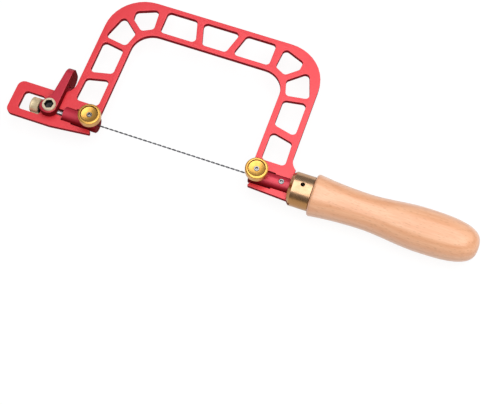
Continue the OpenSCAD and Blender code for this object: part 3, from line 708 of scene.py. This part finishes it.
def make_lever():
    """Forked cam lever with a rounded barrel about the pin; its lower half mirrors its upper half."""
    edge_steps, hole_steps = 6, 72
    half_w = size_of("cam_lever").z / 2
    outline = lever_outline()
    count = len(outline)
    edges = [lever_edge_r(p) for p in outline]
    split = [i for i in range(count) if abs(outline[i].y - FORK_ROOT_Y) < SAME_PLACE]
    ends = [i for i in range(count) if abs(outline[i].y - LEVER_END_Y) < SAME_PLACE]

    # Outer sides, from the slot up and over the rounded edge
    points = [(p.x, p.y, 0.0 if split[0] < i < split[1] else FORK_HALF) for i, p in enumerate(outline)]
    rings = [range(count)]
    for k in range(edge_steps + 1):
        a = math.pi / 2 * k / edge_steps
        inset = inset_loop(outline, [r * (1 - math.cos(a)) for r in edges])
        rings.append(range(len(points), len(points) + count))
        points += [(p.x, p.y, lever_height(p.y, half_w) - r * (1 - math.sin(a)))
                   for p, r in zip(inset, edges)]
    faces = join_rings(rings)

    # Closed end of the slot, down to the middle of the lever
    low = [len(points), len(points) + 1]
    points += [(outline[i].x, outline[i].y, 0.0) for i in split]
    first, last = split
    faces[first] = [low[0], first + 1, rings[1][first + 1], rings[1][first], first]
    faces[last - 1] = [last - 1, low[1], last, rings[1][last], rings[1][last - 1]]
    faces.append([low[0], low[1], last, first])

    # Slot side and flat top round the bore, and the rounded end past them
    hole = [(LEVER_BORE_R * math.cos(a), LEVER_BORE_R * math.sin(a))
            for a in (TURN * i / hole_steps for i in range(hole_steps))]
    hole_rings = []
    for z, rim, (first, last) in ((FORK_HALF, rings[0], split), (half_w, rings[-1], ends)):
        hole_rings.append(range(len(points), len(points) + hole_steps))
        points += [(x, y, z) for x, y in hole]
        border = [rim[i] for i in range(count) if not first < i < last]
        faces += fill_rings(points, [border, hole_rings[-1]])
    faces += join_rings(hole_rings)
    first, last = ends
    while last - first > 2:
        faces.append([rings[-1][i] for i in (first, first + 1, last - 1, last)])
        first, last = first + 1, last - 1
    faces.append([rings[-1][i] for i in range(first, last + 1)])

    mirror_below(points, faces)
    pivot = middle_of("cross_pin")
    pivot.z = middle_of("cam_lever").z
    keep_flats(make_piece("forked_cam_lever", points, faces, "cam_lever", CLAMP_CRIMSON,
                          Matrix.Translation(pivot)))


# Screws, knobs and nut

THREAD_PITCH = 0.7
THREAD_DEPTH = 0.32


def thread_shape(radius, length):
    """Radius of a screw thread at an angle and a height, with bevelled ends."""
    groove_slope = 2.6

    def shape(angle, r, z):
        if r < radius - SAME_PLACE:
            return r
        turn = (z / THREAD_PITCH - angle / TURN) % 1
        groove = THREAD_DEPTH * max(0.0, 1 - groove_slope * abs(turn - 0.5))
        end = min(z, length - z)
        return min(r - groove, radius - THREAD_DEPTH + end)
    return shape


def threaded_side(radius, length):
    """Profile of a threaded side, from the foot of its lower end to the rim of its upper end."""
    rows_per_pitch = 7
    count = round(length / THREAD_PITCH * rows_per_pitch)
    rows = [(radius, length * i / count) for i in range(count + 1)]
    return [(0, 0), (radius - THREAD_DEPTH, 0)] + rows + [(radius - THREAD_DEPTH, length)]


def make_socket_screw(name, node, key, material):
    """Headless threaded screw with a hexagon socket in its upper end."""
    steps, key_depth, chamfer = 48, 2.4, 0.12
    size = size_of(node)
    radius, length = size.x / 2, size.z
    points, faces = turn_profile(threaded_side(radius, length), steps,
                                 shape=thread_shape(radius, length))
    top = range(len(points) - steps, len(points))
    faces += join_rings([top] + sink_socket(points, length, key, key_depth, chamfer, key / 4, steps))
    make_piece(name, points, faces, node, material, seat_of(node))


def make_pivot_pin():
    """Brass pin that the lever turns on: a hexagon socket in its upper end and a way for the rod."""
    steps, side_steps = 108, 24
    rod_gap, bevel, key, key_depth, chamfer, key_turn = 0.15, 0.6, 6.0, 4.5, 0.2, math.radians(20)
    size = size_of("cross_pin")
    radius, top = size.x / 2, size.z
    rod_low, rod_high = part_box("tension_rod")
    foot_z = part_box("cross_pin")[0].z
    under = (rod_low.z - foot_z) / MM - rod_gap
    over = (rod_high.z - foot_z) / MM + rod_gap

    foot = [(0, 0), (radius - bevel, 0), (radius, bevel), (radius, under), (0, under)]
    points, faces = turn_profile(foot, steps)
    sweep = math.acos((over - under) / 2 / radius)
    for side in (1, -1):
        edge = [(side * radius * math.sin(a), side * radius * math.cos(a))
                for a in (sweep * (2 * i / side_steps - 1) for i in range(side_steps + 1))]
        low = range(len(points), len(points) + len(edge))
        high = range(low.stop, low.stop + len(edge))
        points += [(x, y, z) for z in (under, over) for x, y in edge]
        faces += join_rings([low, high]) + [list(low), list(high)]

    head = [(0, over), (radius, over), (radius, top - bevel), (radius - bevel, top)]
    head_points, head_faces = turn_profile(head, steps)
    faces += [[i + len(points) for i in face] for face in head_faces]
    points += head_points
    rings = [range(len(points) - steps, len(points))]
    rings += sink_socket(points, top, key, key_depth, chamfer, key / 6, steps, key_turn)
    faces += join_rings(rings[:3])
    # The socket's walls take blackened steel as painted shade in the brass pin's recess.
    socket = range(len(faces), len(faces) + 2 * steps)
    faces += join_rings(rings[2:])
    make_piece("socketed_pivot_pin", points, faces, "cross_pin", PIN_BRASS, seat_of("cross_pin"),
               [(socket, BLACK_STEEL_AND_SHADE)])


def make_tension_rod():
    """Threaded rod from the nut to the front clamp."""
    steps = 32
    size = size_of("tension_rod")
    radius, length = size.y / 2, size.x
    points, faces = turn_profile(threaded_side(radius, length) + [(0, length)], steps,
                                 shape=thread_shape(radius, length))
    make_piece("threaded_tension_rod", points, faces, "tension_rod", BRIGHT_STEEL,
               seat_of("tension_rod", ALONG_X))


def make_knob(name, node):
    """Brass clamp knob: a hub, a rounded rim and a dished face with a groove round it; the groove and
    the rim's outer wall take darker brass as painted shade.
    """
    bore, hub, hub_h, hub_edge_r, hub_root_r = 2.02, 5.0, 3.4, 0.3, 0.25
    edge_r, edge_steps, bowl_steps, steps = 1.1, 8, 12, 128
    dish_edge, groove_out, groove_in, lip_edge = 6.25, 6.15, 5.7, 5.6
    groove_depth, lip_drop, dish_depth = 0.8, 0.65, 1.4
    size = size_of(node)
    radius, top = size.x / 2, size.z
    side = round_corners([
        (bore, 0, 0), (hub, 0, hub_edge_r), (hub, hub_h, hub_root_r), (radius, hub_h, edge_r),
        (radius, top, edge_r), (dish_edge, top, 0)], edge_steps)
    groove = [(groove_out, top - groove_depth), (groove_in, top - groove_depth)]
    bowl = []
    for i in range(bowl_steps + 1):
        r = lip_edge + (bore - lip_edge) * i / bowl_steps
        share = (r * r - bore * bore) / (lip_edge * lip_edge - bore * bore)
        bowl.append((r, top - dish_depth + (dish_depth - lip_drop) * share))
    points, faces = turn_profile(side + groove + bowl, steps, closed=True)
    # Painted shade: darker brass on the rim's outer wall and in the groove.
    under_rim = 1 + 2 * (edge_steps + 1)
    wall = range(under_rim * steps, (under_rim + edge_steps + 3) * steps)
    shaded_groove = range((len(side) - 1) * steps, (len(side) + 2) * steps)
    make_piece(name, points, faces, node, KNOB_BRASS, seat_of(node),
               [(shaded_groove, GROOVE_SHADE_BRASS), (wall, WALL_SHADE_BRASS)])


def make_adjusting_nut():
    """Brass nut with a fine straight knurl between two plain bevels."""
    bore, bevel, edge_r = 2.05, 0.5, 0.1
    ridges, steps_per_ridge, knurl_in, knurl_start, knurl_depth = 72, 6, 0.9, 0.15, 0.06
    size = size_of("adjusting_nut")
    radius, length = size.y / 2, size.x
    knurl_low = knurl_in + knurl_start
    knurl_high = length - knurl_in - knurl_start
    profile = round_corners([(bore, 0, 0), (radius - bevel, 0, edge_r), (radius, bevel, edge_r),
                             (radius, knurl_in, 0)])
    profile += [(radius, knurl_low), (radius, knurl_high)]
    profile += round_corners([(radius, length - knurl_in, 0), (radius, length - bevel, edge_r),
                              (radius - bevel, length, edge_r), (bore, length, 0)])

    def knurl(angle, r, z):
        if not knurl_low - SAME_PLACE < z < knurl_high + SAME_PLACE:
            return r
        turn = angle * ridges / TURN % 1
        return r - knurl_depth * (1 - abs(2 * turn - 1))

    points, faces = turn_profile(profile, ridges * steps_per_ridge, closed=True, shape=knurl)
    make_piece("knurled_adjusting_nut", points, faces, "adjusting_nut", PALE_BRASS,
               seat_of("adjusting_nut", ALONG_X))


# Blade

def make_blade():
    """Flat wire with teeth cut in both edges, twisted between its plain ends."""
    plain, turns, step, blend = 10.5, 15, 0.15, 1.5
    end_half_w, end_half_t, half_w, half_t, edge_share = 0.42, 0.34, 0.62, 0.28, 0.75
    tooth_pitch, tooth_depth = 1.05, 0.16
    section = ((1, 1), (0, 1), (-1, 1), (-1, -1), (0, -1), (1, -1))
    length = size_of("blade").x
    twisted = length - 2 * plain
    count = round(length / step)
    points, rings = [], []
    for i in range(count + 1):
        x = length * i / count
        grown = held((min(x, length - x) - plain) / blend)
        angle = TURN * min(max(x - plain, 0), twisted) / (twisted / turns)
        rings.append(range(len(points), len(points) + len(section)))
        for side, level in section:
            shift = 0.5 if side < 0 else 0.0
            tooth = tooth_depth * ((x / tooth_pitch + shift) % 1) if grown == 1.0 else 0.0
            across = side * (end_half_w + (half_w - end_half_w) * grown - tooth)
            up = level * (end_half_t + (half_t - end_half_t) * grown) * (edge_share if side else 1.0)
            points.append((x, across * math.cos(angle) - up * math.sin(angle),
                           across * math.sin(angle) + up * math.cos(angle)))
    faces = join_rings(rings) + [list(rings[0]), list(rings[-1])]
    start = Matrix.Translation(seat_of("blade", ALONG_X).translation)
    make_piece("spiral_blade", points, faces, "blade", BLADE_STEEL, start)


# Handle

HANDLE_FRONT_R = 15.15
HANDLE_WAIST_R = 12.5
HANDLE_BULGE_R = 15.45
HANDLE_WAIST_AT = 38.0
HANDLE_BULGE_AT = 78.0
HANDLE_END_POWER = 3.0


def handle_radius(s, length):
    """Radius of the turned handle at a distance behind the ferrule."""
    if s < HANDLE_WAIST_AT:
        return HANDLE_WAIST_R + (HANDLE_FRONT_R - HANDLE_WAIST_R) * (1 - s / HANDLE_WAIST_AT) ** 2
    if s < HANDLE_BULGE_AT:
        share = (s - HANDLE_WAIST_AT) / (HANDLE_BULGE_AT - HANDLE_WAIST_AT)
        return HANDLE_WAIST_R + (HANDLE_BULGE_R - HANDLE_WAIST_R) * eased(share)
    share = (s - HANDLE_BULGE_AT) / (length - HANDLE_BULGE_AT)
    return HANDLE_BULGE_R * max(0.0, 1 - share ** HANDLE_END_POWER) ** (1 / HANDLE_END_POWER)


def make_handle():
    """Turned handle with a rounded front edge and a hole for the ferrule's spigot."""
    spigot, spigot_room, edge = 7.05, 12.05, 2.0
    edge_steps, grip_steps, end_steps, steps = 8, 60, 40, 128
    length = size_of("handle").x
    front = handle_radius(edge, length)
    profile = [(0, spigot_room), (spigot, spigot_room), (spigot, 0)]
    for i in range(edge_steps + 1):
        a = math.pi / 2 * i / edge_steps
        profile.append((front - edge * (1 - math.sin(a)), edge * (1 - math.cos(a))))
    stations = [edge + (HANDLE_BULGE_AT - edge) * i / grip_steps for i in range(1, grip_steps + 1)]
    stations += [HANDLE_BULGE_AT + (length - HANDLE_BULGE_AT) * math.sin(math.pi / 2 * i / end_steps)
                 for i in range(1, end_steps)]
    profile += [(handle_radius(s, length), s) for s in stations] + [(0, length)]
    points, faces = turn_profile(profile, steps)
    make_piece("beech_handle", points, faces, "handle", BEECH, seat_of("handle", ALONG_X))


make_bow()
make_lever()
make_knob("front_dished_knob", "front_knob")
make_knob("rear_dished_knob", "rear_knob")
make_socket_screw("front_threaded_screw", "front_clamp_screw", 2.0, SCREW_STEEL)
make_socket_screw("rear_threaded_screw", "rear_clamp_screw", 2.0, SCREW_STEEL)
make_socket_screw("threaded_set_screw", "rear_set_screw", 2.0, SCREW_STEEL)
make_socket_screw("ferrule_lock_screw", "ferrule_set_screw", 1.5, BLACK_STEEL_AND_SHADE)
make_pivot_pin()
make_tension_rod()
make_adjusting_nut()
make_blade()
make_handle()
bevel_solid("front_clamp_body", CLAMP_CRIMSON, 0.3)
bevel_solid("rear_clamp_body", CLAMP_CRIMSON, 0.3)
bevel_solid("ferrule", FERRULE_BRASS, 0.25)
# The blackened collar is a thrust washer, and its black also stands in as painted shade in the gap
# between nut and barrel.
bevel_solid("thrust_collar", BLACK_STEEL_AND_SHADE, 0.25)
bevel_solid("front_pressure_pad", BRIGHT_STEEL, 0.15)
bevel_solid("rear_pressure_pad", BRIGHT_STEEL, 0.15)
bevel_solid("handle_stud", BRIGHT_STEEL, 0.3)


# Studio

def make_floor():
    """Pale sheet under the saw: white to the camera, with the saw's soft shadow on it."""
    half = 30.0
    mesh = bpy.data.meshes.new("studio_floor")
    mesh.from_pydata([(-half, -half, 0), (half, -half, 0), (half, half, 0), (-half, half, 0)], [],
                     [(0, 1, 2, 3)])
    material = bpy.data.materials.new("studio_paper")
    material.use_nodes = True
    tree = material.node_tree
    tree.nodes.remove(tree.nodes["Principled BSDF"])
    paper = add_node(tree, "ShaderNodeBsdfDiffuse", in_Color=(0.14, 0.14, 0.14, 1))
    glow = add_node(tree, "ShaderNodeEmission", in_Color=(0.89, 0.89, 0.89, 1), in_Strength=1.0)
    seen = add_node(tree, "ShaderNodeAddShader")
    bounced = add_node(tree, "ShaderNodeBsdfDiffuse", in_Color=(0.5, 0.5, 0.5, 1))
    path = add_node(tree, "ShaderNodeLightPath")
    glossy = add_node(tree, "ShaderNodeMath", operation="MAXIMUM")
    shown = add_node(tree, "ShaderNodeMath", operation="MAXIMUM")
    choice = add_node(tree, "ShaderNodeMixShader")
    tree.links.new(path.outputs["Is Glossy Ray"], glossy.inputs[0])
    tree.links.new(path.outputs["Is Transmission Ray"], glossy.inputs[1])
    tree.links.new(path.outputs["Is Camera Ray"], shown.inputs[0])
    tree.links.new(glossy.outputs["Value"], shown.inputs[1])
    tree.links.new(paper.outputs["BSDF"], seen.inputs[0])
    tree.links.new(glow.outputs["Emission"], seen.inputs[1])
    tree.links.new(shown.outputs["Value"], choice.inputs["Fac"])
    tree.links.new(bounced.outputs["BSDF"], choice.inputs[1])
    tree.links.new(seen.outputs["Shader"], choice.inputs[2])
    tree.links.new(choice.outputs["Shader"], tree.nodes["Material Output"].inputs["Surface"])
    mesh.materials.append(material)
    floor = add_object("studio_floor", mesh)


def make_softbox(name, place, target, width, depth, watts):
    """Soft rectangular lamp, in metres, that the camera doesn't see."""
    lamp = bpy.data.lights.new(name, "AREA")
    lamp.shape = "RECTANGLE"
    lamp.size = width
    lamp.size_y = depth
    lamp.energy = watts
    made = add_object(name, lamp)
    made.location = place
    made.rotation_mode = "QUATERNION"
    made.rotation_quaternion = (Vector(target) - Vector(place)).to_track_quat("-Z", "Y")
    made.visible_camera = False


def make_world():
    """Even grey room round the saw."""
    world = bpy.data.worlds.new("studio_room")
    bpy.context.scene.world = world
    world.use_nodes = True
    room = world.node_tree.nodes["Background"]
    room.inputs["Color"].default_value = (0.22, 0.22, 0.225, 1)
    room.inputs["Strength"].default_value = 1.0


def make_camera():
    """Camera solved from the photo's own straight edges."""
    right = Vector((0.94256, 0.334, -0.00469))
    up = Vector((-0.30868, 0.87631, 0.36985))
    back = Vector((0.12764, -0.34716, 0.92908))
    place = Vector((0.09659, -0.29334, 0.62235))
    data = bpy.data.cameras.new("photo_camera")
    data.sensor_fit = "HORIZONTAL"
    data.sensor_width = 36.0
    data.lens = 70.0
    data.clip_start = 0.01
    data.clip_end = 50.0
    made = add_object("photo_camera", data)
    made.matrix_world = Matrix.Translation(place) @ Matrix((right, up, back)).transposed().to_4x4()
    bpy.context.scene.camera = made


make_floor()
make_world()
make_softbox("overhead_softbox", (0.35, -0.125, 1.0), (0.35, -0.125, 0.0), 1.4, 1.65, 15.6)
make_camera()
bpy.context.scene.view_settings.view_transform = "Standard"
